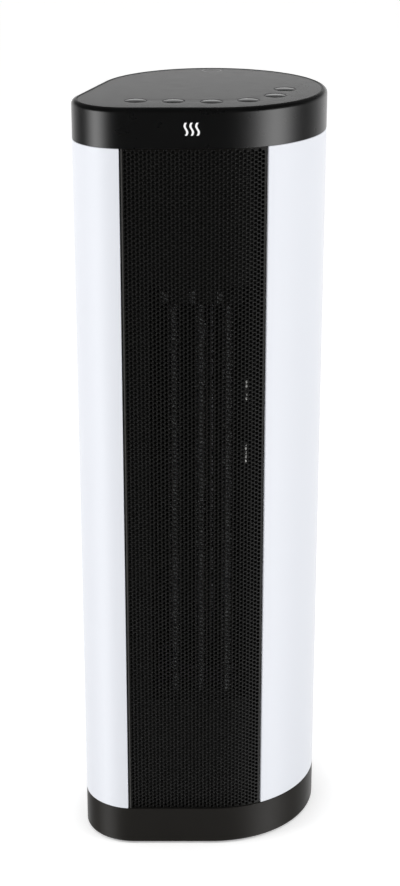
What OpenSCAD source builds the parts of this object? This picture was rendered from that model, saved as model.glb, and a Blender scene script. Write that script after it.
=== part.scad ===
// Ceramic tower heater with a teardrop plan, on its own base.
// Millimetres, +Z up, front towards -Y, origin under the middle of the plan.

/* [Body] */
// Overall height with feet
height = 584; // [560:1:610]
// Radius of the large round side of the plan
body_r = 84; // [82:0.5:88]
// Radius of the small round corner of the plan
nose_r = 39; // [37:0.5:42]
// Distance between the two centres, measured across the front
centre_gap = 60.5; // [58:0.5:64]
// Wall thickness of the moulded shells
wall = 2.2; // [1.8:0.1:2.6]

/* [Base and cap] */
// Height of the black base band above the floor
base_h = 31.4; // [29:0.1:34]
// Height of the black top cap
cap_h = 28.2; // [26:0.1:30]
// Rounding of the cap's upper edge
rim_r = 3.6; // [3:0.1:4]
// Height of the rubber feet below the base band
foot_h = 1.5; // [1:0.1:2]
// Depth that the tip-over plunger drops when the heater is lifted
tip_travel = 5; // [3:0.5:5]

/* [Front] */
// Left edge of the grille opening
grille_left = -57.2; // [-60:0.2:-56]
// Right edge of the grille opening
grille_right = 47.2; // [44:0.2:48]
// Thickness of the grille sheet
grille_t = 1; // [0.8:0.1:1.2]

/* [Controls] */
// Number of push buttons
button_count = 6; // [6:1:6]
// Radius of a push button
button_r = 7.7; // [7:0.1:8]
// Spacing of the buttons along their path
button_pitch = 26.7; // [25:0.1:27]
// Radius of the curved half of the buttons' path
button_arc_r = 50; // [48:0.5:52]
// Travel of a push button
button_travel = 0.9; // [0.5:0.1:0.9]

/* [Heater] */
// Number of ceramic heating bars
bar_count = 3; // [3:1:3]
// Spacing of the heating bars
bar_pitch = 19.75; // [18:0.25:21]
// Length of a heating bar
bar_len = 310; // [300:1:316]
// Fin spacing along a bar
fin_pitch = 5; // [4:0.5:8]

/* [Blower] */
// Outer radius of the cross-flow wheel
wheel_r = 32; // [28:0.5:33]
// Number of blades
blade_count = 24; // [18:1:30]
// Radius of the blower shaft
shaft_r = 3; // [2.5:0.1:3.5]

/* [Hidden] */
$fn = 96;

clear = 0.2; // gap between shells that slide into each other
sink = 0.01; // how far the plan's flats lie inside the common tangents
run = 0.06; // radial running clearance of a shaft or a plunger in its bore

// Plan: two circles and their common tangents, centred on the origin's box.
plan_w = nose_r + centre_gap + body_r;
body_c = [plan_w / 2 - body_r, 0];
nose_c = [body_c.x - centre_gap, nose_r - body_r];
axis_turn = atan2(body_r - nose_r, centre_gap);
front_n = [0, -1];
side_n = [cos(2 * axis_turn + 90), sin(2 * axis_turn + 90)];

cap_z = height - cap_h;
seam_y = 18; // plane where the side panels meet the rear cover

// Base
base_wall = 2.5;
deck_t = 2.5;
cover_z = 3;
cover_t = 2;
boss_at = [[-66, -42], [30, -70], [62, 38], [-36, 46]];
foot_at = [[-56, -64], [46, -56], [44, 58], [-52, 26]];
foot_r = 9;
foot_stem_r = 2.5;
foot_pad_t = 3;
tip_at = [-8, 44];
tip_r = 2.5;
tip_flange_r = 4;
tip_flange_z = 11;
tip_top_z = 21;

// Front
grille_inset = 0.8;
frame_inset = 8;
frame_t = 2;
duct_left = -40;
duct_right = 38;
duct_z0 = 121;
duct_z1 = 457;
duct_wall = 3;
frame_back_y = -66.5;
bar_x = -0.3;
bar_z = 131;
bar_front_y = -74;
bar_depth = 16;

// Blower
wheel_at = [6, 2];
scroll_r = 40;
scroll_t = 2;
heater_back_y = -56;
plate_t = 3;
wheel_z0 = 128;
wheel_z1 = 450;
motor_r = 28;
motor_z0 = 72;

// Rear
lug_x = 37;
lug_y = 44;
lug_low_z = 98;
lug_high_z = 520;
service_w = 52;
service_h = 60;
service_z = 74;
service_y = 70;
rocker_x = body_c.x - 12;
rocker_tilt = 8;
pivot_y = 71.5;
inlet_x = body_c.x + 13;
cord_r = 3.6;

// Controls
panel_t = 2.4;
board_z = 571;
board_t = 1.6;
tact_top_z = 575.1;

// Buttons run straight up to the third one, and then round an arc.
button_arc_c = [10.5, -7.3];
button_arc_start = -93.7;
function on_button_path(i) =
    let (a = button_arc_start + max(0, i - 2) * button_pitch / button_arc_r * 180 / PI,
        back = max(0, 2 - i) * button_pitch)
    button_arc_c + button_arc_r * [cos(a), sin(a)] - back * [-sin(a), cos(a)];

// ---- plan shapes ----

// Plan outline, moved inwards by inset.
module outline(inset = 0) {
    translate(body_c) circle(body_r - inset);
    translate(nose_c) circle(nose_r - inset);
    polygon([
        body_c + (body_r - inset - sink) * side_n,
        nose_c + (nose_r - inset - sink) * side_n,
        nose_c + (nose_r - inset - sink) * front_n,
        body_c + (body_r - inset - sink) * front_n
    ]);
}

// Wall that follows the plan outline between two insets.
module ring(inset, t) {
    difference() {
        outline(inset);
        outline(inset + t);
    }
}

module plate(z, t, inset) {
    translate([0, 0, z]) linear_extrude(t) outline(inset);
}

// Box given by its two corners.
module span(a, b) {
    translate(a) cube(b - a);
}

// Round bar or hole from z0 to z1 at point p.
module pin(p, r, z0, z1) {
    translate([p.x, p.y, z0]) cylinder(r = r, h = z1 - z0, $fn = 48);
}

// Round bar or hole along +Y from y0 to y1, at x and z.
module y_pin(x, z, r, y0, y1) {
    translate([x, y0, z]) rotate([-90, 0, 0]) cylinder(r = r, h = y1 - y0, $fn = 48);
}

// Tube swept along points, as one polyhedron with rings of n sides.
function unit(v) = v / norm(v);
function tangents(p) = [for (i = [0:len(p) - 1])
    unit(p[min(i + 1, len(p) - 1)] - p[max(i - 1, 0)])];
function ring_points(c, t, up, r, n) =
    let (u = unit(cross(up, t)), v = cross(t, u))
    [for (k = [0:n - 1]) c + r * (cos(360 * k / n) * u + sin(360 * k / n) * v)];
module tube(points, r, n, up) {
    t = tangents(points);
    m = len(points);
    verts = [for (i = [0:m - 1]) each ring_points(points[i], t[i], up, r, n)];
    sides = [for (i = [0:m - 2]) for (k = [0:n - 1])
        [i * n + k, i * n + (k + 1) % n, (i + 1) * n + (k + 1) % n, (i + 1) * n + k]];
    caps = [[for (k = [n - 1:-1:0]) k], [for (k = [0:n - 1]) (m - 1) * n + k]];
    polyhedron(verts, concat(sides, caps), convexity = 10);
}

// ---- base ----

module base_shell() {
    color([0.05, 0.05, 0.055]) difference() {
        union() {
            translate([0, 0, foot_h]) linear_extrude(base_h - foot_h) ring(0, base_wall);
            plate(base_h - deck_t, deck_t, base_wall / 2);
            for (p = boss_at) pin(p, 4, cover_z + cover_t, base_h - deck_t / 2);
        }
        for (p = boss_at) pin(p, 1.3, 0, base_h - 2 * deck_t);
        pin([body_c.x, 62], 7, base_h - 2 * deck_t, base_h + 1);
    }
}

module base_cover() {
    color([0.06, 0.06, 0.065]) difference() {
        plate(cover_z, cover_t, base_wall + clear);
        for (p = boss_at) pin(p, 1.7, 0, base_h);
        for (p = foot_at) pin(p, foot_stem_r + clear / 2, 0, base_h);
        pin(tip_at, tip_r + run, 0, base_h);
    }
}

module ballast_plate() {
    color([0.35, 0.36, 0.38]) difference() {
        plate(cover_z + cover_t, 4, 12);
        for (p = boss_at) pin(p, 5.5, 0, base_h);
        for (p = foot_at) pin(p, 5.5, 0, base_h);
        span([tip_at.x - 10, tip_at.y - 10, 0], [tip_at.x + 10, tip_at.y + 10, base_h]);
    }
}

// Foot with a pad under the cover, a stem through it and a barb above it.
module rubber_foot(i) {
    p = foot_at[i];
    top = cover_z + cover_t;
    color([0.1, 0.1, 0.1]) {
        pin(p, foot_r, 0, foot_pad_t);
        pin(p, foot_stem_r, foot_pad_t, top);
        pin(p, foot_stem_r + 1, top, top + 1.5);
    }
}

module base_screws() {
    color("silver") for (p = boss_at) {
        pin(p, 3.2, foot_h + 0.3, cover_z);
        pin(p, 1.25, cover_z, 18);
    }
}

module tip_switch_housing() {
    color([0.85, 0.84, 0.8]) difference() {
        span([tip_at.x - 8, tip_at.y - 7, cover_z + cover_t], [tip_at.x + 8, tip_at.y + 7, tip_top_z]);
        pin(tip_at, tip_flange_r + 0.5, 0, tip_top_z - 2);
    }
}

module tip_plunger() {
    color([0.9, 0.2, 0.15]) {
        pin(tip_at, tip_r, 0, tip_flange_z + 3);
        pin(tip_at, tip_flange_r, tip_flange_z, tip_flange_z + 1.5);
    }
}

// Helical spring between the plunger's flange and the top of its housing.
module tip_spring() {
    turns = 4;
    steps = 14;
    wire_r = 0.35;
    z0 = tip_flange_z + 1.5 + wire_r;
    z1 = tip_top_z - 2 - wire_r;
    coil_r = (tip_r + tip_flange_r) / 2;
    path = [for (i = [0:turns * steps]) let (a = 360 * i / steps)
        [tip_at.x + coil_r * cos(a), tip_at.y + coil_r * sin(a), z0 + (z1 - z0) * i / (turns * steps)]];
    color("silver") tube(path, wire_r, 6, [0, 0, 1]);
}

// ---- shells ----

module front_opening(gap = 0) {
    span([grille_left + gap, -body_r - 1, 0], [grille_right - gap, -40, height]);
}

module side_shell() {
    difference() {
        translate([0, 0, base_h]) linear_extrude(cap_z - base_h) ring(0, wall);
        front_opening();
    }
}

module left_panel() {
    color([0.93, 0.94, 0.96]) intersection() {
        side_shell();
        span([-plan_w, -body_r - 1, 0], [0, seam_y, height]);
    }
}

module right_panel() {
    color([0.93, 0.94, 0.96]) intersection() {
        side_shell();
        span([0, -body_r - 1, 0], [plan_w, seam_y, height]);
    }
}

// Intake slots over the blower, in three columns.
module intake_slots() {
    slot_h = 3.4;
    slot_w = 30;
    rows = 40;
    row_pitch = 8;
    first_z = 130;
    for (i = [0:rows - 1]) for (k = [-1:1])
        span([body_c.x + k * (slot_w + 5) - slot_w / 2, 45, first_z + i * row_pitch],
            [body_c.x + k * (slot_w + 5) + slot_w / 2, body_r + 1, first_z + i * row_pitch + slot_h]);
}

module service_opening(gap = 0) {
    span([body_c.x - service_w / 2 - gap, service_y, service_z - service_h / 2 - gap],
        [body_c.x + service_w / 2 + gap, body_r + 1, service_z + service_h / 2 + gap]);
}

module at_lugs() {
    for (s = [-1, 1]) for (z = [lug_low_z, lug_high_z]) translate([body_c.x + s * lug_x, 0, z]) children();
}

module rear_cover() {
    color([0.9, 0.91, 0.93]) difference() {
        union() {
            difference() {
                translate([0, 0, base_h]) linear_extrude(cap_z - base_h) ring(0, wall);
                span([-plan_w, -body_r - 1, 0], [plan_w, seam_y, height]);
                intake_slots();
                service_opening(clear);
            }
            at_lugs() y_pin(0, 0, 5.5, lug_y, 73.5);
        }
        at_lugs() y_pin(0, 0, 1.8, lug_y - 1, body_r);
        at_lugs() y_pin(0, 0, 4, 60, body_r);
    }
}

module rear_screws() {
    color("silver") at_lugs() {
        y_pin(0, 0, 3.4, 60, 62.4);
        y_pin(0, 0, 1.4, 36, 60);
    }
}

module front_grille() {
    color([0.04, 0.04, 0.04]) intersection() {
        translate([0, 0, base_h + clear]) linear_extrude(cap_z - base_h - 2 * clear)
            ring(grille_inset, grille_t);
        front_opening(clear);
    }
}

// Tray behind the grille, with the outlet window and a collar that reaches the heater.
module front_frame() {
    side_w = 2;
    back = frame_inset + frame_t;
    z0 = base_h + clear;
    window_z0 = duct_z0 + duct_wall;
    window_z1 = duct_z1 - duct_wall;
    color([0.07, 0.07, 0.07]) difference() {
        union() {
            intersection() {
                translate([0, 0, z0]) linear_extrude(cap_z - deck_t - z0) ring(frame_inset, frame_t);
                front_opening(clear);
            }
            for (x = [grille_left + clear, grille_right - clear - side_w]) intersection() {
                translate([0, 0, z0]) linear_extrude(cap_z - deck_t - z0)
                    ring(grille_inset + grille_t + 0.1, back - grille_inset - grille_t - 0.1);
                span([x, -body_r, 0], [x + side_w, -40, height]);
            }
            intersection() {
                span([duct_left, -body_r, duct_z0], [duct_right, frame_back_y, duct_z1]);
                translate([0, 0, duct_z0]) linear_extrude(duct_z1 - duct_z0)
                    outline(frame_inset + frame_t / 2);
            }
        }
        span([duct_left + 2, -body_r, window_z0], [duct_right - 2, -40, window_z1]);
    }
}

// ---- rear service panel ----

module service_panel() {
    t = 2;
    color([0.07, 0.07, 0.07]) difference() {
        intersection() {
            service_opening();
            linear_extrude(height) outline(0);
        }
        span([body_c.x - service_w / 2 + t, service_y + t, service_z - service_h / 2 + t],
            [body_c.x + service_w / 2 - t, body_r + 2, service_z + service_h / 2 - t]);
        span([rocker_x - 6.6, service_y - 1, service_z - 9.6],
            [rocker_x + 6.6, service_y + t + 1, service_z + 9.6]);
        y_pin(inlet_x, service_z, 6.1, service_y - 1, service_y + t + 1);
    }
}

module rocker_housing() {
    color([0.1, 0.1, 0.1]) difference() {
        union() {
            span([rocker_x - 8, service_y + 2, service_z - 11],
                [rocker_x + 8, service_y + 4, service_z + 11]);
            span([rocker_x - 6.5, 58, service_z - 9.5],
                [rocker_x + 6.5, service_y + 2, service_z + 9.5]);
        }
        span([rocker_x - 5.4, 66, service_z - 8.3], [rocker_x + 5.4, service_y + 5, service_z + 8.3]);
        translate([rocker_x - 6.3, pivot_y, service_z]) rotate([0, 90, 0])
            cylinder(r = 1.2 + run, h = 12.6, $fn = 48);
    }
}

// Paddle of the mains switch, lying at its off end.
module rocker() {
    half = 7.5;
    color([0.55, 0.05, 0.04]) translate([rocker_x - 5.1, pivot_y, service_z]) rotate([-rocker_tilt, 0, 0])
        rotate([90, 0, 90]) linear_extrude(10.2)
            polygon([[-3.2, -4], [-1, -half], [5.4, -half], [3.2, 0], [5.4, half], [-1, half], [-3.2, 4]]);
    color([0.55, 0.05, 0.04]) translate([rocker_x - 6.1, pivot_y, service_z]) rotate([0, 90, 0])
        cylinder(r = 1.2, h = 12.2, $fn = 48);
}

// Gland that the mains lead passes through.
module cord_gland() {
    color([0.08, 0.08, 0.08]) difference() {
        union() {
            y_pin(inlet_x, service_z, 9, service_y + 2, service_y + 5);
            y_pin(inlet_x, service_z, 6, service_y, service_y + 2);
            y_pin(inlet_x, service_z, 7.2, service_y - 3, service_y);
        }
        y_pin(inlet_x, service_z, cord_r, service_y - 4, service_y + 6);
    }
}

// ---- chassis ----

// Open box with two side walls and two lugs for the rear screws.
module chassis(z0, z1, lug_z, hole_r) {
    w = 1.2;
    floor_t = 1.5;
    left = duct_left;
    right = duct_right;
    difference() {
        union() {
            span([left, -40, z0], [right, lug_y, z0 + floor_t]);
            span([left, -40, z0], [left + w, lug_y, z1]);
            span([right - w, -40, z0], [right, lug_y, z1]);
            span([left, lug_y - 12, lug_z - 6], [body_c.x - lug_x + 6, lug_y, lug_z + 6]);
            span([right - w, lug_y - 12, lug_z - 6], [body_c.x + lug_x + 6, lug_y, lug_z + 6]);
        }
        pin(wheel_at, hole_r, z0 - 1, z0 + 4);
        for (s = [-1, 1]) y_pin(body_c.x + s * lug_x, lug_z, 1.45, lug_y - 14, lug_y + 1);
    }
}

module lower_chassis() {
    color([0.6, 0.62, 0.64]) chassis(base_h, duct_z0, lug_low_z, 20);
}

module upper_chassis() {
    color([0.6, 0.62, 0.64]) chassis(duct_z1, cap_z - deck_t, lug_high_z, 14);
}

cap_boss_at = [for (a = [110, 15, -55]) body_c + (body_r - 8.5) * [cos(a), sin(a)],
    nose_c + (nose_r - 8.5) * [cos(215), sin(215)]];

module top_deck() {
    color([0.08, 0.08, 0.08]) difference() {
        plate(cap_z - deck_t, deck_t, wall + clear);
        for (p = cap_boss_at) pin(p, 1.7, cap_z - 2 * deck_t, height);
        pin([-30, 30], 8, cap_z - 2 * deck_t, height);
    }
}

module cap_screws() {
    color("silver") for (p = cap_boss_at) {
        pin(p, 3.2, cap_z - deck_t - 1.6, cap_z - deck_t);
        pin(p, 1.25, cap_z - deck_t, cap_z + 12);
    }
}

// ---- cap and controls ----

module top_cap() {
    ledge_z = height - panel_t - 2;
    color([0.03, 0.03, 0.035]) difference() {
        hull() for (a = [0:22.5:90])
            plate(cap_z, cap_h - rim_r * (1 - sin(a)), rim_r * (1 - cos(a)));
        plate(height - panel_t, cap_h, rim_r + clear);
        plate(cap_z - 1, ledge_z - cap_z + 1, base_wall);
        plate(cap_z - 1, cap_h + 2, rim_r + 4);
    }
    color([0.03, 0.03, 0.035]) for (p = cap_boss_at) difference() {
        pin(p, 3.4, cap_z, ledge_z);
        pin(p, 1.3, cap_z - 1, cap_z + 14);
    }
}

module control_panel() {
    color([0.09, 0.09, 0.1]) difference() {
        union() {
            plate(height - panel_t, panel_t, rim_r + 2 * clear);
            for (p = post_at) pin(p, 2.5, board_z + board_t, height - panel_t / 2);
        }
        for (i = [0:button_count - 1]) pin(on_button_path(i), button_r + clear, height - 5, height + 1);
    }
}

post_at = [[-48, -34], [-8, 40], [42, 40], [20, -30]];

// Dished button with a retaining flange and a stem over its switch.
module control_button(i) {
    p = on_button_path(i);
    dish_r = 24;
    dish_depth = 0.9;
    flange_z = height - panel_t - 0.3;
    color([0.1, 0.1, 0.11]) difference() {
        union() {
            pin(p, button_r, flange_z - 1, height);
            pin(p, button_r + 1.5, flange_z - 1.4, flange_z);
            pin(p, 2, tact_top_z + button_travel + 0.1, flange_z - 1);
        }
        translate([p.x, p.y, height + dish_r - dish_depth]) sphere(dish_r);
    }
}

module control_board() {
    color([0.05, 0.25, 0.12]) plate(board_z, board_t, 15);
}

module tact_switches() {
    top = board_z + board_t;
    color([0.2, 0.2, 0.2]) for (i = [0:button_count - 1]) {
        p = on_button_path(i);
        span([p.x - 3, p.y - 3, top], [p.x + 3, p.y + 3, top + 1.6]);
        pin(p, 1.75, top + 1.6, tact_top_z);
    }
}

// ---- heater ----

module heater_frame() {
    color([0.6, 0.6, 0.62]) difference() {
        span([duct_left, frame_back_y, duct_z0], [duct_right, heater_back_y, duct_z1]);
        span([duct_left + duct_wall, frame_back_y - 1, duct_z0 + duct_wall],
            [duct_right - duct_wall, heater_back_y + 1, duct_z1 - duct_wall]);
    }
}

carrier_half = 29.5;

module heater_carrier(z0, z1) {
    span([bar_x - carrier_half, bar_front_y + 1.5, z0], [bar_x + carrier_half, heater_back_y - 2, z1]);
}

module heater_carrier_top() {
    color([0.75, 0.72, 0.65]) heater_carrier(bar_z + bar_len, duct_z1 - duct_wall);
}

module heater_carrier_bottom() {
    color([0.75, 0.72, 0.65]) heater_carrier(duct_z0 + duct_wall, bar_z);
}

// Ceramic bar in a thin case, with a comb of fins on both sides.
module heating_bar(i) {
    core_w = 3;
    fin_w = 2;
    fin_t = 1;
    x = bar_x + (i - (bar_count - 1) / 2) * bar_pitch;
    fins = floor(bar_len / fin_pitch);
    color([0.7, 0.71, 0.72]) {
        translate([x, bar_front_y, bar_z]) rotate([90, 0, 0]) mirror([0, 0, 1]) linear_extrude(bar_depth) {
            translate([-core_w / 2, 0]) square([core_w, bar_len]);
            for (k = [0:fins - 1]) translate([-core_w / 2 - fin_w, k * fin_pitch + fin_pitch / 2])
                square([core_w + 2 * fin_w, fin_t]);
        }
    }
}

module heater_terminals() {
    z = bar_z + bar_len;
    color("silver") for (i = [0:bar_count - 1]) {
        x = bar_x + (i - (bar_count - 1) / 2) * bar_pitch - 6;
        span([x - 2, bar_front_y + 0.7, z + 1], [x + 2, bar_front_y + 1.5, z + 9]);
    }
}

module thermal_cutout() {
    x = bar_x + 24;
    z = duct_z1 - duct_wall - 6;
    color([0.8, 0.78, 0.7]) {
        y_pin(x, z, 4.5, bar_front_y - 1.5, bar_front_y + 1.5);
    }
}

// Line of the lead beside the bars.
function lead_x() = duct_right - duct_wall - 3;
lead_y = -71.8;

// Lead from the upper carrier to the lower one.
module heater_lead() {
    x0 = bar_x + carrier_half + 1.2;
    x1 = lead_x();
    path = [[x0, -64, 447], [x0 + 0.8, -64.5, 446.5], [x1, -66, 443], [x1, -69, 434], [x1, -71, 410],
        [x1, lead_y, 390], [x1, lead_y, 312], [x1, -70, 295], [x1, -68, 240], [x1, -68, 180],
        [x1, -67, 140], [x1, -65.5, 131], [x0 + 0.8, -64.5, 127.5], [x0, -64, 127]];
    color([0.1, 0.1, 0.1]) tube(path, 1.1, 8, [0, 1, 0]);
}

// Two sleeves over the lead's joints.
module lead_sleeves() {
    sleeve_l = 16.5;
    color("white") for (z = [318.5, 367.5]) translate([lead_x(), lead_y, z]) difference() {
        cylinder(r = 2, h = sleeve_l);
        translate([0, 0, -1]) cylinder(r = 1.2, h = sleeve_l + 2);
    }
}

// ---- blower ----

// Part of a ring round the wheel, between two angles under 180 degrees apart.
module arc_wall(r, t, a0, a1) {
    far = 3 * r;
    mid = (a0 + a1) / 2;
    translate(wheel_at) intersection() {
        difference() {
            circle(r + t);
            circle(r);
        }
        polygon([[0, 0], far * [cos(a0), sin(a0)], far * [cos(mid), sin(mid)], far * [cos(a1), sin(a1)]]);
    }
}

// Walls of the scroll and its cut-off, with a flange on each side that closes on the heater frame.
module blower_housing() {
    left = wheel_at.x - scroll_r - scroll_t;
    cutoff_x = wheel_at.x + 22.4;
    color([0.12, 0.12, 0.12]) translate([0, 0, duct_z0 + plate_t])
        linear_extrude(duct_z1 - duct_z0 - 2 * plate_t) {
            arc_wall(scroll_r, scroll_t, 100, 180);
            translate([left, heater_back_y]) square([scroll_t, wheel_at.y - heater_back_y + 0.5]);
            arc_wall(wheel_r + 2.5, scroll_t, -50, -5);
            translate([cutoff_x, heater_back_y]) square([scroll_t, 32.5]);
            for (x = [[duct_left, left + scroll_t], [cutoff_x, duct_right]]) translate([x[0], heater_back_y])
                square([x[1] - x[0], scroll_t]);
        }
}

module blower_plate(z, hole_r) {
    color([0.6, 0.62, 0.64]) translate([0, 0, z]) linear_extrude(plate_t) difference() {
        union() {
            translate(wheel_at) circle(scroll_r + scroll_t);
            translate([duct_left, heater_back_y])
                square([duct_right - duct_left, wheel_at.y - heater_back_y]);
        }
        translate(wheel_at) circle(hole_r);
    }
}

module blower_bottom_plate() {
    blower_plate(duct_z0, 9);
}

module blower_top_plate() {
    blower_plate(duct_z1 - plate_t, 9);
}

// Cross-flow wheel: blades on a ring, tied by discs.
module blower_wheel() {
    disc_t = 2;
    blade_t = 1;
    blade_w = 7;
    hub_r = 8;
    span_z = wheel_z1 - wheel_z0;
    color([0.15, 0.15, 0.16]) translate([wheel_at.x, wheel_at.y, 0]) difference() {
        union() {
            for (i = [0:blade_count - 1]) rotate(360 * i / blade_count)
                translate([wheel_r - 0.6, 0, wheel_z0 + disc_t / 2]) rotate(28)
                    translate([-blade_w, -blade_t / 2, 0]) cube([blade_w, blade_t, span_z - disc_t]);
            for (z = [wheel_z0, wheel_z1 - disc_t]) translate([0, 0, z]) cylinder(r = wheel_r, h = disc_t);
            for (k = [1:3]) translate([0, 0, wheel_z0 + k * span_z / 4 - 1]) difference() {
                cylinder(r = wheel_r, h = disc_t);
                translate([0, 0, -1]) cylinder(r = wheel_r - blade_w, h = disc_t + 2);
            }
            pin([0, 0], hub_r, wheel_z0, wheel_z0 + 12);
            pin([0, 0], hub_r, wheel_z1 - 12, wheel_z1);
        }
        pin([0, 0], shaft_r, wheel_z0 - 1, wheel_z1 + 1);
    }
}

module blower_shaft() {
    color("silver") pin(wheel_at, shaft_r, motor_z0 - 2.5, duct_z1 + 1.5);
}

module bearing_bush() {
    color([0.7, 0.5, 0.25]) difference() {
        pin(wheel_at, 6, duct_z1 - plate_t - 1, duct_z1 + 2);
        pin(wheel_at, shaft_r + run, 0, height);
    }
}

module bush_grommet() {
    color([0.1, 0.1, 0.1]) difference() {
        pin(wheel_at, 9, duct_z1 - plate_t, duct_z1);
        pin(wheel_at, 6, 0, height);
    }
}

module motor_can() {
    color([0.7, 0.71, 0.73]) difference() {
        pin(wheel_at, motor_r, motor_z0, duct_z0);
        pin(wheel_at, motor_r - 2, motor_z0 - 1, duct_z0 - 3);
        pin(wheel_at, shaft_r + run, 0, height);
    }
}

module motor_end_cap() {
    color([0.65, 0.66, 0.68]) difference() {
        pin(wheel_at, motor_r, motor_z0 - 4, motor_z0);
        pin(wheel_at, shaft_r + run, motor_z0 - 3, height);
    }
}

module motor_stator() {
    color([0.5, 0.5, 0.52]) difference() {
        pin(wheel_at, motor_r - 2, motor_z0 + 8, motor_z0 + 34);
        pin(wheel_at, 16, 0, height);
    }
}

module motor_rotor() {
    color([0.3, 0.3, 0.32]) difference() {
        pin(wheel_at, 15.4, motor_z0 + 8, motor_z0 + 34);
        pin(wheel_at, shaft_r, 0, height);
    }
}

// ---- power electronics ----

board_x = -50;
board_y0 = -66;
board_y1 = -10;
board_z0 = 180;
board_z1 = 320;

module power_board() {
    color([0.05, 0.25, 0.12]) span([board_x, board_y0, board_z0], [board_x + board_t, board_y1, board_z1]);
}

module power_relays() {
    color([0.1, 0.2, 0.5]) {
        for (z = [board_z0 + 12, board_z0 + 46])
            span([board_x - 15, board_y0 + 10, z], [board_x, board_y0 + 30, z + 28]);
        span([board_x - 12, board_y1 - 22, board_z0 + 60], [board_x, board_y1 - 4, board_z0 + 92]);
        for (k = [0:1]) translate([board_x - 16, board_y1 - 12, board_z0 + 16 + 20 * k]) rotate([0, 90, 0])
            cylinder(r = 5, h = 16, $fn = 48);
    }
}

module board_standoffs() {
    color("silver") for (z = [board_z0 + 6, board_z1 - 6]) for (y = [-50, -16])
        translate([board_x + board_t, y, z]) rotate([0, 90, 0])
            cylinder(r = 2.5, h = wheel_at.x - scroll_r - scroll_t - board_x - board_t, $fn = 48);
}

// ---- node list ----

base_shell();
base_cover();
ballast_plate();
rubber_foot(0);  // rubber_foot_1
rubber_foot(1);  // rubber_foot_2
rubber_foot(2);  // rubber_foot_3
rubber_foot(3);  // rubber_foot_4
base_screws();
tip_switch_housing();
tip_plunger();
tip_spring();
left_panel();
right_panel();
rear_cover();
rear_screws();
front_grille();
front_frame();
service_panel();
rocker_housing();
rocker();
cord_gland();
lower_chassis();
upper_chassis();
top_deck();
cap_screws();
top_cap();
control_panel();
control_button(0);  // control_button_1
control_button(1);  // control_button_2
control_button(2);  // control_button_3
control_button(3);  // control_button_4
control_button(4);  // control_button_5
control_button(5);  // control_button_6
control_board();
tact_switches();
heater_frame();
heater_carrier_top();
heater_carrier_bottom();
heating_bar(0);  // heating_bar_1
heating_bar(1);  // heating_bar_2
heating_bar(2);  // heating_bar_3
heater_terminals();
thermal_cutout();
heater_lead();
lead_sleeves();
blower_housing();
blower_bottom_plate();
blower_top_plate();
blower_wheel();
blower_shaft();
bearing_bush();
bush_grommet();
motor_can();
motor_end_cap();
motor_stator();
motor_rotor();
power_board();
power_relays();
board_standoffs();
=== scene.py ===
# %% [markdown]
# # A ceramic tower heater, piece by piece
# The heater stands on a black base, has two white side panels, a perforated steel grille on the front and
# a black cap with six push buttons. Its plan is a teardrop: a large circle, a small circle at the front
# left corner, and the two straight lines that touch both. We load the measured parts first, because every
# visible piece is built around them.

import math

import bmesh
import bpy
from mathutils import Matrix, Vector


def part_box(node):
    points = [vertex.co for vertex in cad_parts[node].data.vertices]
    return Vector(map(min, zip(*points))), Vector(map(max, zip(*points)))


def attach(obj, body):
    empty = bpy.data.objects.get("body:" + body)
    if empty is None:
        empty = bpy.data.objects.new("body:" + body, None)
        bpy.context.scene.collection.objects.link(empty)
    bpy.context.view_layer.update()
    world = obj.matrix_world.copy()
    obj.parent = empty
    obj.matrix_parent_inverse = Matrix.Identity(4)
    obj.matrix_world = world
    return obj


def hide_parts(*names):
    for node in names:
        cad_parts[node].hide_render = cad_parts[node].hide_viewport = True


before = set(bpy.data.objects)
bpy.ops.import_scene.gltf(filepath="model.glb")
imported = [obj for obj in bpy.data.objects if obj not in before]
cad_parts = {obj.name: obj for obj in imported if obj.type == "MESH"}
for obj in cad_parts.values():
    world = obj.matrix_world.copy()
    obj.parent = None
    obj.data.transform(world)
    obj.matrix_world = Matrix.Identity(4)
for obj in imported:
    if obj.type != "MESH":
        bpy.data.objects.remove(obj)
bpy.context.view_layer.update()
MM = 0.001
print(len(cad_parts), "parts loaded")

# %% [markdown]
# ## The plan
# Every outside piece follows the same teardrop. Instead of drawing it again for each one, we describe it
# once as a path: at a distance s round the plan there is a point and an outward normal. Moving a point
# inwards along its normal gives the same outline with a smaller radius, so walls, lips and gaps stay even
# all the way round.

# %% The teardrop as a path
cap_low, cap_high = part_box("top_cap")
BODY_R = (cap_high.y - cap_low.y) / 2
NOSE_R = 39 * MM
BODY_C = Vector((cap_high.x - BODY_R, 0))
NOSE_C = Vector((cap_low.x + NOSE_R, cap_low.y + NOSE_R))
FLAT = BODY_C.x - NOSE_C.x
SIDE = 2 * math.atan2(BODY_R - NOSE_R, FLAT) + math.pi / 2
BODY_ARC = BODY_R * (SIDE + math.pi / 2)
NOSE_ARC = NOSE_R * (1.5 * math.pi - SIDE)
TANGENTS = [0, BODY_ARC, BODY_ARC + FLAT, BODY_ARC + FLAT + NOSE_ARC]
ROUND = TANGENTS[3] + FLAT


def on_plan(s, inset=0.0):
    """Point of the plan at distance s from the front right tangent, moved inwards by inset."""
    s %= ROUND
    if s <= TANGENTS[1]:
        angle, start, end, part = s / BODY_R - math.pi / 2, BODY_C, BODY_C, 0
        radius = BODY_R
    elif s < TANGENTS[2]:
        part = (s - TANGENTS[1]) / FLAT
        angle, start, end = SIDE, BODY_C, NOSE_C
        radius = BODY_R + (NOSE_R - BODY_R) * part
    elif s <= TANGENTS[3]:
        angle, start, end, part = SIDE + (s - TANGENTS[2]) / NOSE_R, NOSE_C, NOSE_C, 0
        radius = NOSE_R
    else:
        part = (s - TANGENTS[3]) / FLAT
        angle, start, end = 1.5 * math.pi, NOSE_C, BODY_C
        radius = NOSE_R + (BODY_R - NOSE_R) * part
    centre = start.lerp(end, part)
    return centre + (radius - inset) * Vector((math.cos(angle), math.sin(angle)))


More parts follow.
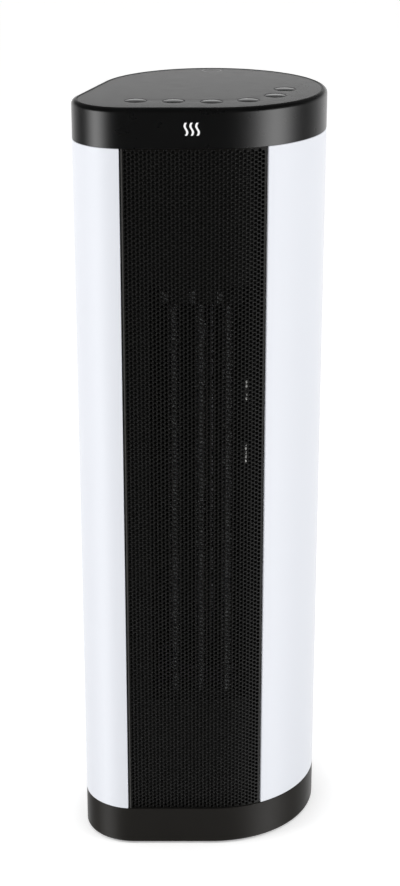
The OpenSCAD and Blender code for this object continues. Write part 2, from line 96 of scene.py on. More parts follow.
def stops(s0, s1, step=3 * MM):
    """Distances from s0 to s1, closer than step, with the tangent points among them."""
    marks = [s0] + [t + k * ROUND for k in (0, 1) for t in TANGENTS if s0 < t + k * ROUND < s1] + [s1]
    out = []
    for a, b in zip(marks, marks[1:]):
        n = max(1, math.ceil((b - a) / step))
        out += [a + (b - a) * i / n for i in range(n)]
    return out + [s1]


ALL_ROUND = stops(0, ROUND)[:-1]
print(f"plan {1000 * ROUND:.1f} mm round, {len(ALL_ROUND)} stations")

# %% [markdown]
# ## Helpers for meshes
# A piece is a list of points and faces. `piece` turns it into an object, marks the sharp edges so that
# shading breaks only where the real surface does, hangs it on the body it moves with and hides the measured
# part it stands for.

# %% Make a piece
SHARP = math.radians(32)


def dress(obj, bevel, segments=3):
    """Rounds the sharp edges of obj, and lets the large faces set the shading."""
    if bevel:
        m = obj.modifiers.new("edge", "BEVEL")
        m.width, m.segments, m.limit_method, m.angle_limit = bevel, segments, "ANGLE", SHARP
    m = obj.modifiers.new("normals", "WEIGHTED_NORMAL")
    m.keep_sharp = True
    return obj


def piece(name, bm, material, body, node, bevel=0.0, soft=()):
    """Object from a bmesh, in the frame's coordinates; soft holds edges that shade as rounded."""
    bmesh.ops.recalc_face_normals(bm, faces=bm.faces)
    for f in bm.faces:
        f.smooth = True
    for e in bm.edges:
        e.smooth = e.calc_face_angle(0) < SHARP
    for e in soft:
        e.smooth = True
    mesh = bpy.data.meshes.new(name)
    bm.to_mesh(mesh)
    bm.free()
    obj = bpy.data.objects.new(name, mesh)
    bpy.context.scene.collection.objects.link(obj)
    mesh.materials.append(material)
    dress(obj, bevel)
    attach(obj, body)
    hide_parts(node)
    print(f"{name}: {len(mesh.polygons)} faces")
    return obj


# %% [markdown]
# Most pieces are rings: the same number of points at each step, joined row by row. `add_rows` does that for
# a cap, a button or a pin alike.

# %% Join rows of points
def add_rows(bm, rows, closed_rows=True, closed_columns=False, fill=(False, False)):
    """Quads between rows of points; fill closes the first and the last row."""
    grid = [[bm.verts.new(p) for p in row] for row in rows]
    lines = list(zip(grid, grid[1:])) + ([(grid[-1], grid[0])] if closed_columns else [])
    for a, b in lines:
        n = len(a)
        for i in range(n if closed_rows else n - 1):
            j = (i + 1) % n
            bm.faces.new((a[i], a[j], b[j], b[i]))
    if fill[0]:
        bm.faces.new(grid[0])
    if fill[1]:
        bm.faces.new(grid[-1])
    return grid


def plan_row(inset, z):
    return [(*on_plan(s, inset), z) for s in ALL_ROUND]


def circle_row(centre, r, z, n=72):
    turns = [2 * math.pi * i / n for i in range(n)]
    return [(centre[0] + r * math.cos(a), centre[1] + r * math.sin(a), z) for a in turns]


def fillet(inset, z, r, a0, a1, n=6):
    """Points of a rounded corner in (inset, z), about the corner's own centre."""
    steps = [math.radians(a0 + (a1 - a0) * i / n) for i in range(n + 1)]
    return [(inset + r * math.cos(a), z + r * math.sin(a)) for a in steps]


# %% [markdown]
# ## Helpers for materials
# A shader is maths on every point of a surface. Written as nodes it gets long, so one small class wraps a
# socket and overloads the operators: `1 - mask` adds the Math node for us. Colours mustn't go through
# Math nodes, which turn them grey, so they have a method of their own.

# %% Sockets as numbers
class Wire:
    """An output socket that can be added, multiplied and compared."""

    def __init__(self, tree, socket=None):
        self.tree, self.socket = tree, socket

    def node(self, kind, settings=None, inputs=None, out=0):
        """Any node: its settings are set first, then the values or links of its sockets."""
        n = self.tree.nodes.new(kind)
        for key, value in (settings or {}).items():
            setattr(n, key, value)
        for key, value in (inputs or {}).items():
            if isinstance(value, Wire):
                self.tree.links.new(value.socket, n.inputs[key])
            else:
                n.inputs[key].default_value = value
        return Wire(self.tree, n.outputs[out]) if n.outputs else None

    def maths(self, operation, *values):
        return self.node("ShaderNodeMath", {"operation": operation}, dict(enumerate((self, *values))))

    def __add__(self, other):
        return self.maths("ADD", other)

    def __sub__(self, other):
        return self.maths("SUBTRACT", other)

    def __rsub__(self, other):
        return (self * -1) + other

    def __mul__(self, other):
        return self.maths("MULTIPLY", other)

    def __truediv__(self, other):
        return self.maths("DIVIDE", other)

    def __lt__(self, other):
        return self.maths("LESS_THAN", other)

    def __gt__(self, other):
        return self.maths("GREATER_THAN", other)

    __radd__, __rmul__ = __add__, __mul__

    def colour(self, low, high):
        """Blend of two colours, with this wire as the factor."""
        return self.node("ShaderNodeMix", {"data_type": "RGBA"}, {0: self, 6: low, 7: high}, out=2)


def parts_of(vector):
    """The three components of a vector wire."""
    n = vector.tree.nodes.new("ShaderNodeSeparateXYZ")
    vector.tree.links.new(vector.socket, n.inputs[0])
    return [Wire(vector.tree, o) for o in n.outputs]


# %% [markdown]
# Every finish starts from the same three things: an empty material, the point on the piece in metres, and
# noise of a given grain size. `finish` closes it with one Principled shader.

# %% Start and close a material
def new_material(name):
    material = bpy.data.materials.new(name)
    material.use_nodes = True
    material.node_tree.nodes.clear()
    return material, Wire(material.node_tree)


def place(start):
    return start.node("ShaderNodeTexCoord", out=3)


def grain(start, size, detail=2.0, stretch=(1, 1, 1)):
    """Noise from 0 to 1 whose blotches are about size metres wide."""
    spot = start.node("ShaderNodeVectorMath", {"operation": "MULTIPLY"}, {0: place(start), 1: stretch})
    return start.node("ShaderNodeTexNoise", {}, {"Vector": spot, "Scale": 1 / size, "Detail": detail})


def bumped(start, height, depth):
    """Normal of a surface whose height runs from 0 to depth metres."""
    return start.node("ShaderNodeBump", {}, {"Strength": 1.0, "Distance": depth, "Height": height})


def finish(material, start, **inputs):
    names = {key.replace("_", " "): value for key, value in inputs.items()}
    shader = start.node("ShaderNodeBsdfPrincipled", {}, names)
    start.node("ShaderNodeOutputMaterial", {}, {"Surface": shader})
    return material


# %% [markdown]
# ## Plastics
# The shells are moulded plastic. The white panels are polished, with a very shallow waviness that bends
# reflections a little. The cap is high gloss black. The base has a fine spark-eroded texture that spreads
# the light, so it looks charcoal beside the cap although both are black.

# %% White panels
def white_plastic(name="white shell"):
    m, w = new_material(name)
    cloud = grain(w, 90 * MM)
    tone = cloud.colour((0.658, 0.675, 0.718, 1), (0.672, 0.688, 0.730, 1))
    rough = 0.30 + 0.06 * grain(w, 14 * MM)
    skin = bumped(w, grain(w, 6 * MM, 1.0), 0.008 * MM)
    return finish(m, w, Base_Color=tone, Roughness=rough, Normal=skin, Specular_IOR_Level=0.22)


# %% Moulded black plastics
def black_plastic(name, tone, rough, texture, depth, level=0.5, tint=(1, 1, 1)):
    """tone is the grey level, texture the grain size in metres and depth its height."""
    m, w = new_material(name)
    cloud = grain(w, 40 * MM)
    dark = tuple(tone * t for t in tint) + (1,)
    light = tuple(1.25 * tone * t for t in tint) + (1,)
    bite = grain(w, texture, 3.0)
    return finish(m, w, Base_Color=cloud.colour(dark, light), Roughness=rough + 0.08 * grain(w, 9 * MM),
                  Normal=bumped(w, bite, depth), Specular_IOR_Level=level)


WHITE = white_plastic()
BASE_BLACK = black_plastic("satin base", 0.0125, 0.32, 0.6 * MM, 0.004 * MM, 0.08, (1.05, 0.98, 0.88))
INNER_BLACK = black_plastic("inner moulding", 0.006, 0.6, 0.8 * MM, 0.006 * MM, 0.12)
BUTTON_BLACK = black_plastic("button", 0.006, 0.14, 3 * MM, 0.0005 * MM)
ROCKER_BLACK = black_plastic("rocker", 0.012, 0.3, 0.6 * MM, 0.003 * MM)
RUBBER = black_plastic("rubber", 0.02, 0.75, 0.9 * MM, 0.02 * MM, 0.3)
WHEEL_BLACK = black_plastic("blower plastic", 0.005, 0.6, 0.8 * MM, 0.005 * MM, 0.1)
print("plastics ready")

# %% [markdown]
# The cap and the panel in its top are the glossiest pieces. The cap carries one printed pictogram, three
# heat waves, and the panel a thin printed ring at the back. Both are ink, so they are masks in the
# colour: flat on the surface, with sharp edges and a little more roughness than the lacquer.

# %% Gloss black with a printed mark
INK = (0.85, 0.85, 0.85, 1)


def printed_gloss(name, tone, rough, mask_of, ink):
    m, w = new_material(name)
    mask = mask_of(*parts_of(place(w)))
    cloud = grain(w, 60 * MM)
    black = cloud.colour((tone, tone, tone, 1), (1.3 * tone, 1.3 * tone, 1.35 * tone, 1))
    skin = bumped(w, grain(w, 8 * MM, 1.0), 0.002 * MM)
    return finish(m, w, Base_Color=mask.colour(black, ink),
                  Roughness=rough + 0.04 * grain(w, 11 * MM) + 0.2 * mask, Normal=skin)


def heat_waves(x, y, z):
    """Three upright wavy strokes on the front of the cap."""
    middle, level = -6.5 * MM, cap_high.z - 14.5 * MM
    tall, apart, swing, stroke, front = 9 * MM, 4 * MM, 0.9 * MM, 0.75 * MM, cap_low.y + 6 * MM
    up = z - level
    sway = (up * (2 * math.pi / tall)).maths("SINE") * swing
    side = x - middle + sway
    column = (side / apart).maths("ROUND").maths("MINIMUM", 1).maths("MAXIMUM", -1) * apart
    near = (side - column).maths("ABSOLUTE") < stroke
    return near * (up.maths("ABSOLUTE") < tall / 2) * (y < front)


def ring_mark(x, y, z):
    """A thin ring near the back of the top."""
    middle_x, middle_y, radius, stroke = 8 * MM, 71 * MM, 7 * MM, 0.35 * MM
    dx, dy = x - middle_x, y - middle_y
    r = (dx * dx + dy * dy).maths("SQRT")
    return (r - radius).maths("ABSOLUTE") < stroke


CAP_GLOSS = printed_gloss("cap gloss", 0.0022, 0.26, heat_waves, INK)
PANEL_GLOSS = printed_gloss("panel gloss", 0.006, 0.2, ring_mark, (0.3, 0.3, 0.3, 1))

# %% [markdown]
# ## Metals, ceramic and board
# The grille is black paint on steel. Inside are galvanised sheet, bare aluminium fins, ground steel, a
# sintered bush and a green board. Metals have no colour of their own under the reflection, so Metallic is
# 1 and the base colour is the reflection's tint; stretched noise in the roughness gives the direction of
# rolling or grinding.

# %% Metals and the rest
def metal(name, tint, rough, size, stretch, depth=0.002 * MM):
    m, w = new_material(name)
    lines = grain(w, size, 3.0, stretch)
    low = tuple(0.88 * t for t in tint) + (1,)
    return finish(m, w, Base_Color=lines.colour(low, (*tint, 1)), Metallic=1.0,
                  Roughness=rough + 0.12 * lines, Normal=bumped(w, lines, depth))


def plain_solid(name, low, high, rough, size, depth):
    m, w = new_material(name)
    spots = grain(w, size, 4.0)
    return finish(m, w, Base_Color=spots.colour((*low, 1), (*high, 1)),
                  Roughness=rough + 0.1 * grain(w, 5 * size), Normal=bumped(w, spots, depth))


GALVANISED = metal("galvanised sheet", (0.60, 0.62, 0.64), 0.38, 9 * MM, (1, 1, 1))
FINS = metal("bare aluminium", (0.31, 0.32, 0.32), 0.45, 2 * MM, (1, 1, 0.1))
STEEL = metal("ground steel", (0.62, 0.62, 0.63), 0.22, 0.8 * MM, (1, 1, 0.05))
IRON = metal("cast ballast", (0.20, 0.20, 0.21), 0.6, 1.5 * MM, (1, 1, 1), 0.02 * MM)
LAMINATED = metal("laminated steel", (0.32, 0.32, 0.34), 0.45, 0.9 * MM, (0.05, 0.05, 1), 0.02 * MM)
BRONZE = metal("sintered bronze", (0.60, 0.42, 0.20), 0.45, 0.5 * MM, (1, 1, 1), 0.005 * MM)
IVORY = plain_solid("ivory moulding", (0.66, 0.64, 0.57), (0.74, 0.72, 0.66), 0.45, 2 * MM, 0.004 * MM)
RED = plain_solid("red moulding", (0.50, 0.03, 0.02), (0.60, 0.05, 0.03), 0.4, 2 * MM, 0.004 * MM)
BLUE = plain_solid("blue relay", (0.02, 0.09, 0.26), (0.03, 0.12, 0.32), 0.4, 2 * MM, 0.004 * MM)
BOARD = plain_solid("solder mask", (0.01, 0.10, 0.035), (0.02, 0.16, 0.06), 0.35, 1.6 * MM, 0.01 * MM)
print(len(bpy.data.materials), "materials")

# %% [markdown]
# The lead beside the bars runs through two short silicone sleeves. The sleeves are black, and the glints
# their gloss catches are painted on as a white line down their front: a painted highlight. The line is a
# mask across x, and noise breaks it into separate painted glints.

# %% Sleeve with a painted highlight line
sleeve_low, sleeve_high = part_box("lead_sleeves")
# x and half width of the white painted highlight line on the sleeves
GLINT_LINE_X = (sleeve_low.x + sleeve_high.x) / 2 + 1.1 * MM
GLINT_LINE_HALF = 0.6 * MM


def sleeve_with_painted_glint():
    m, w = new_material("sleeve with tracer")
    x, _, _ = parts_of(place(w))
    # white line of painted highlight, broken by noise into separate glints
    painted_glint = ((x - GLINT_LINE_X).maths("ABSOLUTE") < GLINT_LINE_HALF) * (grain(w, 4 * MM, 1.0) > 0.47)
    skin = bumped(w, grain(w, 1.5 * MM), 0.01 * MM)
    return finish(m, w, Base_Color=painted_glint.colour((0.012, 0.012, 0.012, 1), (0.75, 0.75, 0.72, 1)),
                  Roughness=0.45 + 0.1 * grain(w, 7 * MM), Normal=skin, Specular_IOR_Level=0.3)


SLEEVE = sleeve_with_painted_glint()
print(f"tracer {1000 * GLINT_LINE_HALF * 2:.1f} mm wide")

# %% [markdown]
# ## The cap
# The real cap is one moulding: a band with a soft upper edge, and a ledge inside it that the control
# panel drops onto. It could be a solid with a pocket cut out, but a wall is simpler as a section swept
# round the plan. The section below runs up the outside, over the rounded edge, down into the pocket and
# back underneath.

# %% Sweep a section round the plan
def sweep(name, section, material, node):
    """section is a closed list of (inset, z)."""
    bm = bmesh.new()
    add_rows(bm, [plan_row(i, z) for i, z in section], closed_columns=True)
    return piece(name, bm, material, "body", node)


cap_z, top_z = cap_low.z, cap_high.z
RIM_R = 3.6 * MM
PANEL_T = 2.4 * MM
PANEL_DROP = 0.25 * MM
panel_z = top_z - PANEL_DROP
pocket = RIM_R + 0.3 * MM
cap_section = [(0.5 * MM, cap_z), (0.12 * MM, cap_z + 0.12 * MM), (0, cap_z + 0.5 * MM)]
cap_section += fillet(RIM_R, top_z - RIM_R, RIM_R, 180, 90, 12)
ledge, ledge_t, wall = RIM_R + 4 * MM, 2 * MM, 2.5 * MM
cap_section += [(pocket - 0.12 * MM, top_z - 0.04 * MM), (pocket, top_z - 0.2 * MM),
                (pocket, top_z - PANEL_T), (ledge, top_z - PANEL_T), (ledge, top_z - PANEL_T - ledge_t),
                (wall, top_z - PANEL_T - ledge_t), (wall, cap_z)]
sweep("cap_rim", cap_section, CAP_GLOSS, "top_cap")

# %% [markdown]
# ## The control panel and its buttons
# The panel is a flat plate with six round holes. A plate with holes has no tidy grid, so its flat faces
# are filled between the outlines, and only the edges are built in rows. Each button is turned: a domed
# top with a soft lip, a flange that keeps it from falling out, and a stem that reaches its switch.

# %% Plate with round holes
BUTTONS = [f"control_button_{i}" for i in range(1, 7)]


def middle_of(node):
    a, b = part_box(node)
    return (a + b) / 2


HOLE_R = 7.9 * MM
bm = bmesh.new()
panel_edge = RIM_R + 0.5 * MM
edge = [(panel_edge + 0.3 * MM, panel_z), (panel_edge + 0.08 * MM, panel_z - 0.08 * MM),
        (panel_edge, panel_z - 0.3 * MM), (panel_edge, top_z - PANEL_T)]
tops, bottoms = [], []
grid = add_rows(bm, [plan_row(i, z) for i, z in edge])
tops.append(grid[0])
bottoms.append(grid[-1])
for node in BUTTONS:
    c = middle_of(node)
    lip = [(HOLE_R + 0.35 * MM, panel_z), (HOLE_R + 0.1 * MM, panel_z - 0.08 * MM),
           (HOLE_R, panel_z - 0.3 * MM), (HOLE_R, top_z - PANEL_T)]
    grid = add_rows(bm, [circle_row(c, r, z) for r, z in lip])
    tops.append(grid[0])
    bottoms.append(grid[-1])
for loops in (tops, bottoms):
    edges = [bm.edges.get((loop[i - 1], loop[i])) for loop in loops for i in range(len(loop))]
    bmesh.ops.triangle_fill(bm, use_beauty=True, edges=edges)
piece("control_fascia", bm, PANEL_GLOSS, "body", "control_panel")

# %% [markdown]
# The button's top is a very shallow dome, a part of a large sphere. From a low angle its far half leans
# away and mirrors the bright horizon, and its near half mirrors the dark above: a light crescent over a
# dark lens. A few degrees of slope make that, so the dome's radius matters more than anything else here.

# %% Turned buttons
def turned(name, section, centre, material, body, node):
    """section is a list of (radius, z) from the axis at the top to the axis at the bottom."""
    bm = bmesh.new()
    add_rows(bm, [circle_row(centre, r, z) for r, z in section], fill=(True, True))
    return piece(name, bm, material, body, node)


DOME_R = 82 * MM
LIP_R = 7.7 * MM


def button_section(low):
    rings, rim = 12, LIP_R - 0.5 * MM
    reach = [rim * i / rings for i in range(1, rings + 1)]
    dome = [(r, top_z - DOME_R + math.sqrt(DOME_R ** 2 - r ** 2)) for r in reach]
    edge_z = dome[-1][1]
    flange_r, stem_r = LIP_R + 1.5 * MM, 2 * MM
    flange_top, flange_low = top_z - PANEL_T - 0.3 * MM, top_z - PANEL_T - 1.7 * MM
    lip = [(LIP_R - 0.15 * MM, edge_z - 0.12 * MM), (LIP_R, edge_z - 0.45 * MM), (LIP_R, flange_top)]
    stem = [(flange_r, flange_top), (flange_r, flange_low), (stem_r, flange_low), (stem_r, low)]
    return dome + lip + stem


for i, node in enumerate(BUTTONS, 1):
    section = button_section(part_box(node)[0].z)
    turned(f"push_button_{i}", section, middle_of(node), BUTTON_BLACK, f"button_{i}", node)

# %% [markdown]
# ## The base
# A plain band with a closed deck on top. Its lower edge is softened, so a thin line of light runs along
# it above the floor. It is swept like the cap, and the deck closes it from the rim to the middle.

# %% Base band and deck
shell_low, shell_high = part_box("base_shell")
z0, z1 = shell_low.z, shell_high.z
base_wall = 2.5 * MM
base_section = [(0.35 * MM, z1), (0.1 * MM, z1 - 0.1 * MM), (0, z1 - 0.35 * MM), (0, z0 + 1.8 * MM),
                (0.12 * MM, z0 + 1.0 * MM), (0.45 * MM, z0 + 0.35 * MM), (1.1 * MM, z0), (base_wall, z0),
                (base_wall, z1 - base_wall)]
bm = bmesh.new()
add_rows(bm, [plan_row(i, z) for i, z in base_section], fill=(True, True))
piece("base_band", bm, BASE_BLACK, "body", "base_shell")

# %% [markdown]
# ## The white panels
# Left and right of the grille, each panel is a curved shell as high as the body. Its front edge turns in
# beside the grille with a soft corner, and a hairline gap parts it from the cap, the base and the rear
# cover. Extruding the shell's footprint upwards and rounding every edge gives just that.

# %% Curved shells
WALL = 2.2 * MM
GRILLE_INSET = 0.8 * MM
grille_low, grille_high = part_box("front_grille")
seam_left, seam_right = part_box("left_panel")[1].y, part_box("right_panel")[1].y


def s_where(test, s0, s1):
    """Distance round the plan between s0 and s1 where test turns true."""
    for _ in range(60):
        mid = (s0 + s1) / 2
        s0, s1 = (s0, mid) if test(on_plan(mid)) else (mid, s1)
    return s1


S_RIGHT = ROUND + s_where(lambda p: p.x > grille_high.x + 0.2 * MM, 0, BODY_R * 0.8)
S_LEFT = s_where(lambda p: p.x > grille_low.x - 0.2 * MM, TANGENTS[2], TANGENTS[3] + FLAT / 2)
S_SEAM_RIGHT = ROUND + s_where(lambda p: p.y > seam_right, 0, BODY_R * math.pi)
S_SEAM_LEFT = s_where(lambda p: p.y < seam_left, BODY_ARC / 2, BODY_ARC + FLAT)
print([round(1000 * s, 1) for s in (S_LEFT, S_RIGHT, S_SEAM_RIGHT, S_SEAM_LEFT)])


END_GAP = 0.12 * MM
GAP = 0.15 * MM
CORNER = 0.45 * MM


def side_panel(name, s0, s1, node):
    """Shell from s0 to s1 round the plan, as high as the measured panel less two hairline gaps."""
    along = stops(s0 + END_GAP, s1 - END_GAP, 2.5 * MM)
    loop = [on_plan(s) for s in along] + [on_plan(s, WALL) for s in reversed(along)]
    low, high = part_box(node)
    bm = bmesh.new()
    add_rows(bm, [[(*p, z) for p in loop] for z in (low.z + GAP, high.z - GAP)], fill=(True, True))
    return piece(name, bm, WHITE, "body", node, CORNER)


side_panel("white_panel_left", S_SEAM_LEFT, S_LEFT, "left_panel")
side_panel("white_panel_right", S_RIGHT, S_SEAM_RIGHT, "right_panel")

# %% [markdown]
# ## The grille
# A steel sheet with staggered round holes, 2.4 mm wide, 3.2 mm apart upwards and 2.8 mm across. Real
# holes matter: through them the bars glint, and seen from above the webs line up into bright columns. A
# pattern in a texture can't do that, and cutting six thousand holes with booleans is slow. So we lay a
# lattice on the curved sheet and put an eight-sided hole in each cell. Neighbouring columns are shifted
# by half a cell, and the lattice has a point at every half step, so all cells share their corners.
#
# The press folds the sheet's two long margins back a little. The fold is a slope added to the depth. The
# light those folds catch is painted into the colour: the margins get a lighter paint, a painted highlight,
# which is a mask across x.

# %% Grille paint
HOLE_PITCH_Z = 3.23 * MM
HOLE_PITCH_S = 2.80 * MM
GRILLE_HOLE_R = 1.18 * MM
SHEET_T = 0.55 * MM
SLOPE_W = 0.9 * MM
SLOPE = math.radians(27)
PAINT = (0.0036, 0.0034, 0.003, 1)
# lighter colour for the folded margins: a painted highlight, the light the folds catch
PAINTED_EDGE_HIGHLIGHT = (0.036, 0.035, 0.033, 1)


def grille_paint(left_fold, right_fold):
    """Black paint on steel, with a painted highlight (a lighter colour) on the folded margins outside the
    two x given.
    """
    m, w = new_material("grille paint")
    x, _, _ = parts_of(place(w))
    # the margins that carry the painted highlight
    highlight_margins = (x < left_fold) + (x > right_fold)
    skin = bumped(w, grain(w, 0.5 * MM, 3.0), 0.002 * MM)
    return finish(m, w, Base_Color=highlight_margins.colour(PAINT, PAINTED_EDGE_HIGHLIGHT),
                  Roughness=0.34 + 0.08 * grain(w, 9 * MM), Normal=skin, Specular_IOR_Level=0.12)


SHEET_LEFT, SHEET_RIGHT = S_LEFT + 1.0 * MM, S_RIGHT - 0.7 * MM
# the painted highlight covers the margins outside these two x
GRILLE_PAINT = grille_paint(on_plan(SHEET_LEFT).x + 1.4 * MM, on_plan(SHEET_RIGHT).x - 0.9 * MM)
print(f"sheet {1000 * (SHEET_RIGHT - SHEET_LEFT):.1f} mm round")


# %% Perforated sheet
def spread(length, pitch, edge):
    """How many whole pitches fit in length beside two edges, and what each edge then measures."""
    n = int((length - 2 * edge) / pitch + 1e-6)
    return n, (length - n * pitch) / 2


def perforated_sheet(name, s0, s1, z0, z1, inset, t, material, node):
    columns, side = spread(s1 - s0, HOLE_PITCH_S, 1.5 * MM)
    rows, margin = spread(z1 - z0, HOLE_PITCH_Z, 0.3 * MM)
    us = [s0 + side + HOLE_PITCH_S * k / 2 for k in range(2 * columns + 1)]
    us = [s0, s0 + 0.7 * SLOPE_W, s0 + SLOPE_W] + us + [s1 - SLOPE_W, s1 - 0.7 * SLOPE_W, s1]
    vs = [z0] + [z0 + margin + HOLE_PITCH_Z * k / 2 for k in range(2 * rows + 1)] + [z1]
    bm = bmesh.new()

    def at(s, depth, z):
        past = max(0, SLOPE_W - (s - s0), SLOPE_W - (s1 - s))
        return (*on_plan(s, depth + past * math.tan(SLOPE)), z)

    faces_of = []
    for depth in (inset, inset + t):
        faces_of.append([[bm.verts.new(at(s, depth, z)) for z in vs] for s in us])
    taken = set()
    soft = []
    corners = [(0, 0), (1, 0), (2, 0), (2, 1), (2, 2), (1, 2), (0, 2), (0, 1)]
    for k in range(columns):
        for j in range(rows - k % 2):
            u, v = 3 + 2 * k, 1 + 2 * j + k % 2
            taken.update((u + a, v + b) for a in (0, 1) for b in (0, 1))
            rims = []
            for depth, lattice in zip((inset, inset + t), faces_of):
                rim = []
                for a, b in corners:
                    turn = math.atan2(b - 1, a - 1)
                    s = us[u + 1] + GRILLE_HOLE_R * math.cos(turn)
                    rim.append(bm.verts.new(at(s, depth, vs[v + 1] + GRILLE_HOLE_R * math.sin(turn))))
                for i in range(8):
                    (a0, b0), (a1, b1) = corners[i - 1], corners[i]
                    bm.faces.new((lattice[u + a0][v + b0], lattice[u + a1][v + b1], rim[i], rim[i - 1]))
                rims.append(rim)
            for i in range(8):
                wall = bm.faces.new((rims[0][i - 1], rims[0][i], rims[1][i], rims[1][i - 1]))
                soft += wall.edges
    for lattice in faces_of:
        for a in range(len(us) - 1):
            for b in range(len(vs) - 1):
                if (a, b) not in taken:
                    near, far = lattice[a], lattice[a + 1]
                    bm.faces.new((near[b], far[b], far[b + 1], near[b + 1]))
    front, back = faces_of
    rim_of = [(a, 0) for a in range(len(us))] + [(len(us) - 1, b) for b in range(1, len(vs))]
    rim_of += [(a, len(vs) - 1) for a in range(len(us) - 2, -1, -1)]
    rim_of += [(0, b) for b in range(len(vs) - 2, 0, -1)]
    for (a0, b0), (a1, b1) in zip(rim_of, rim_of[1:] + rim_of[:1]):
        bm.faces.new((front[a0][b0], front[a1][b1], back[a1][b1], back[a0][b0]))
    print(columns, "columns and", rows, "rows of holes")
    return piece(name, bm, material, "body", node, soft=soft)


perforated_sheet("perforated_grille", SHEET_LEFT, SHEET_RIGHT, grille_low.z, grille_high.z,
                 GRILLE_INSET, SHEET_T, GRILLE_PAINT, "front_grille")

# %% [markdown]
# ## The heating bars
# Each bar is a thin case with ceramic stones inside, and corrugated aluminium fins brazed to both sides.
# The fins are what shows through the grille. A corrugation is a zigzag line with a thickness, pushed back
# through the depth of the bar.

# %% Corrugated fins
FIN_PITCH = 1.6 * MM
FIN_T = 0.16 * MM
CORE_W = 3.0 * MM
END = 1 * MM
SET_BACK = 0.3 * MM


def zigzag(x0, x1, z0, z1, pitch):
    n = int((z1 - z0) / pitch) * 2
    return [(x0 if i % 2 else x1, z0 + (z1 - z0) * i / n) for i in range(n + 1)]


def ribbon(bm, line, t, y0, y1):
    """A bent sheet: line is in (x, z), t its thickness, from y0 to y1."""
    near = [(x, z + t / 2) for x, z in line]
    far = [(x, z - t / 2) for x, z in line]
    rows = [[(x, y0, z) for x, z in near], [(x, y1, z) for x, z in near],
            [(x, y1, z) for x, z in far], [(x, y0, z) for x, z in far]]
    grid = add_rows(bm, rows, closed_rows=False, closed_columns=True)
    bm.faces.new([row[0] for row in grid])
    bm.faces.new([row[-1] for row in grid])


def block(bm, a, b):
    m = Matrix.Translation((Vector(a) + Vector(b)) / 2) @ Matrix.Diagonal((*(Vector(b) - Vector(a)), 1))
    bmesh.ops.create_cube(bm, size=1, matrix=m)


for i in (1, 2, 3):
    a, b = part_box(f"heating_bar_{i}")
    x = (a.x + b.x) / 2
    bm = bmesh.new()
    block(bm, (x - CORE_W / 2, a.y, a.z), (x + CORE_W / 2, b.y, b.z))
    for near, far in ((x - CORE_W / 2, a.x), (x + CORE_W / 2, b.x)):
        line = zigzag(near, far, a.z + END, b.z - END, FIN_PITCH)
        ribbon(bm, line, FIN_T, a.y + SET_BACK, b.y - SET_BACK)
    piece(f"finned_bar_{i}", bm, FINS, "body", f"heating_bar_{i}")

# %% [markdown]
# ## The parts that stay as they were measured
# Everything else keeps its measured shape. The imported meshes have hard, split edges, so each is welded
# and its sharp edges are rounded by a hair, which is what moulding and sheet metal do anyway. Then it
# gets its finish.

# %% Finish the measured parts
WELD_GAP = 0.002 * MM


def carry_over(material, bevel, *names):
    for name in names:
        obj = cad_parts[name]
        obj.data.materials.clear()
        obj.data.materials.append(material)
        m = obj.modifiers.new("weld", "WELD")
        m.merge_threshold = WELD_GAP
        dress(obj, bevel, 2)


carry_over(WHITE, 0.3 * MM, "rear_cover")
carry_over(INNER_BLACK, 0.3 * MM, "front_frame", "service_panel", "top_deck", "rocker_housing")
carry_over(INNER_BLACK, 0.0, "base_cover")
carry_over(ROCKER_BLACK, 0.5 * MM, "rocker")
carry_over(RUBBER, 0.5 * MM, "cord_gland", "bush_grommet", *[f"rubber_foot_{i}" for i in range(1, 5)])
carry_over(IRON, 0.4 * MM, "ballast_plate")
carry_over(STEEL, 0.2 * MM, "base_screws", "rear_screws", "cap_screws", "blower_shaft")
carry_over(FINS, 0.1 * MM, "heater_terminals")
carry_over(STEEL, 0.0, "tip_spring")
carry_over(GALVANISED, 0.2 * MM, "lower_chassis", "upper_chassis", "blower_bottom_plate", "blower_top_plate",
           "motor_can", "motor_end_cap")
carry_over(IVORY, 0.3 * MM, "tip_switch_housing")
carry_over(RED, 0.2 * MM, "tip_plunger")
carry_over(INNER_BLACK, 0.3 * MM, "heater_carrier_top", "heater_carrier_bottom",
           "heater_frame", "thermal_cutout")
carry_over(INNER_BLACK, 0.0, "heater_lead")
carry_over(SLEEVE, 0.3 * MM, "lead_sleeves")
carry_over(WHEEL_BLACK, 0.2 * MM, "blower_housing", "blower_wheel", "tact_switches")
carry_over(BRONZE, 0.2 * MM, "bearing_bush", "board_standoffs")
carry_over(LAMINATED, 0.2 * MM, "motor_stator", "motor_rotor")
carry_over(BOARD, 0.2 * MM, "control_board", "power_board")
carry_over(BLUE, 0.4 * MM, "power_relays")

# %% [markdown]
# ## The floor
# The heater stands on a pale studio sweep. A plain sheet does, and a little light of its own keeps it
# white right up to the heater, while the contact shadow stays. Mirrors don't see it, because a gloss
# black band would pick up a white floor that a studio hides with dark cards.

# %% Floor
FLOOR_HALF = 6.0
floor_bm = bmesh.new()
bmesh.ops.create_grid(floor_bm, x_segments=1, y_segments=1, size=FLOOR_HALF)
floor_mesh = bpy.data.meshes.new("floor")
floor_bm.to_mesh(floor_mesh)
floor_bm.free()
floor = bpy.data.objects.new("floor", floor_mesh)
bpy.context.scene.collection.objects.link(floor)
m, w = new_material("pale floor")
finish(m, w, Base_Color=(0.95, 0.95, 0.95, 1), Roughness=0.9, Specular_IOR_Level=0.1,
       Emission_Color=(1, 1, 1, 1), Emission_Strength=0.29)
floor_mesh.materials.append(m)
floor.visible_glossy = False
print("floor ready")

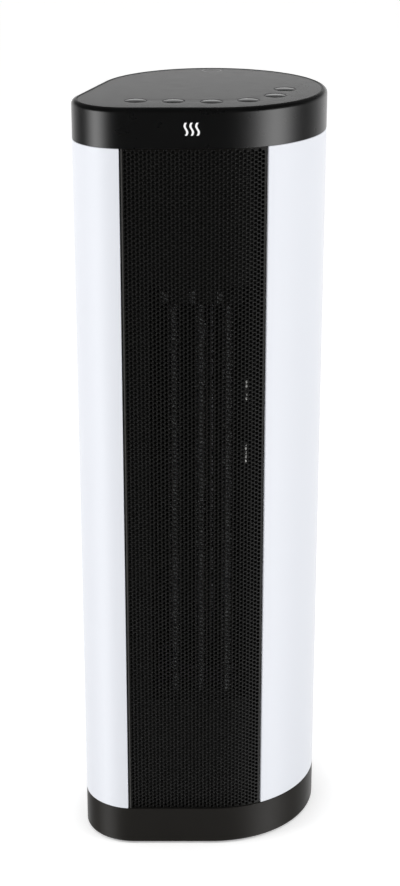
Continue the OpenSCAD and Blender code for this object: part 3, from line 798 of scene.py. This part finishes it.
# %% [markdown]
# ## The surround
# A studio shows gloss black by what it mirrors: dark in front, a soft bright strip at each side and a
# white wall behind. White panels want the opposite, an even glow. So the surround answers three questions
# apart. A view straight into it is white. Diffuse light gets one even level. A mirrored ray gets the
# room: `turned_by` is how far it points round from the front, and `dz` how far up. The wall fades
# upwards, so a flat top seen from a low angle is grey and its near edge is black.

# %% Surround
def smooth(value, low, high):
    """0 below low, 1 above high, with a soft step between."""
    settings = {"interpolation_type": "SMOOTHSTEP"}
    return value.node("ShaderNodeMapRange", settings, {0: value, 1: low, 2: high})


FRONT, STRIP, WALL_GLOW, DARK = 0.03, 5.4, 1.05, 0.08
STRIP_AT, STRIP_SPREAD, STRIP_TOP = math.radians(65), math.radians(18), 0.15
WALL_FROM, WALL_TO = 1.6, 2.8
FADE_FROM, FADE_TO = 0.06, 0.29
EVEN = 0.76
world = bpy.data.worlds.new("surround")
bpy.context.scene.world = world
world.use_nodes = True
world.node_tree.nodes.clear()
world.cycles.sampling_method = "NONE"
w = Wire(world.node_tree)
seen = w.node("ShaderNodeLightPath", out=0)
mirrored = w.node("ShaderNodeLightPath", out=3)
dx, dy, dz = parts_of(w.node("ShaderNodeTexCoord", out=0))
turned_by = dx.maths("ABSOLUTE").maths("ARCTAN2", dy * -1)
off_strip = (turned_by - STRIP_AT) / STRIP_SPREAD
strip = (off_strip * off_strip * -1).maths("EXPONENT") * (1 - smooth(dz, 0.0, STRIP_TOP))
wall = DARK + (WALL_GLOW - DARK) * (1 - smooth(dz, FADE_FROM, FADE_TO))
room = FRONT + STRIP * strip + wall * smooth(turned_by, WALL_FROM, WALL_TO)
strength = seen + (1 - seen) * (mirrored * room + (1 - mirrored) * EVEN)
background = w.node("ShaderNodeBackground", {}, {"Color": (1, 1, 1, 1), "Strength": strength})
w.node("ShaderNodeOutputWorld", {}, {"Surface": background})
print(len(world.node_tree.nodes), "nodes in the surround")


# %% [markdown]
# ## Two soft boxes
# An even glow alone makes the panels look flat. Two square lights stand far out at the sides, so a panel
# is brightest where it turns outwards and darkens a little towards the grille. The surround already holds
# the strips that gloss mirrors, so these two are hidden from mirrored rays.

# %% Soft boxes
BOX_SIZE = 0.9
BOX_AIM = Vector((0, 0, 0.5))


def soft_box(name, at, power):
    light = bpy.data.lights.new(name, "AREA")
    light.shape, light.size, light.energy = "SQUARE", BOX_SIZE, power
    obj = bpy.data.objects.new(name, light)
    bpy.context.scene.collection.objects.link(obj)
    obj.location = at
    obj.rotation_euler = (BOX_AIM - Vector(at)).to_track_quat("-Z", "Y").to_euler()
    obj.visible_glossy = False
    print(f"{name}: {power} W")


soft_box("soft_box_left", (-1.54, -0.42, 1.05), 11.7)
soft_box("soft_box_right", (1.52, -0.50, 1.05), 9.7)

# %% [markdown]
# ## The camera
# It stands in front of the heater and above it, looks down by about twenty degrees, and uses a long lens,
# so the vertical edges close in only slightly towards the floor. The plain view transform keeps white
# white.

# %% Camera
LENS, STAND, TILT = 78.5, (-0.0008, -1.4066, 0.8332), math.radians(69.5)
bpy.context.scene.view_settings.view_transform = "Standard"
camera_data = bpy.data.cameras.new("camera")
camera_data.lens = LENS
camera_data.clip_end = 50
camera = bpy.data.objects.new("camera", camera_data)
camera.location = STAND
camera.rotation_euler = (TILT, 0, 0)
bpy.context.scene.collection.objects.link(camera)
bpy.context.scene.camera = camera
print("camera ready")

# %% [markdown]
# ## The end

# %% The end
print("scene done")
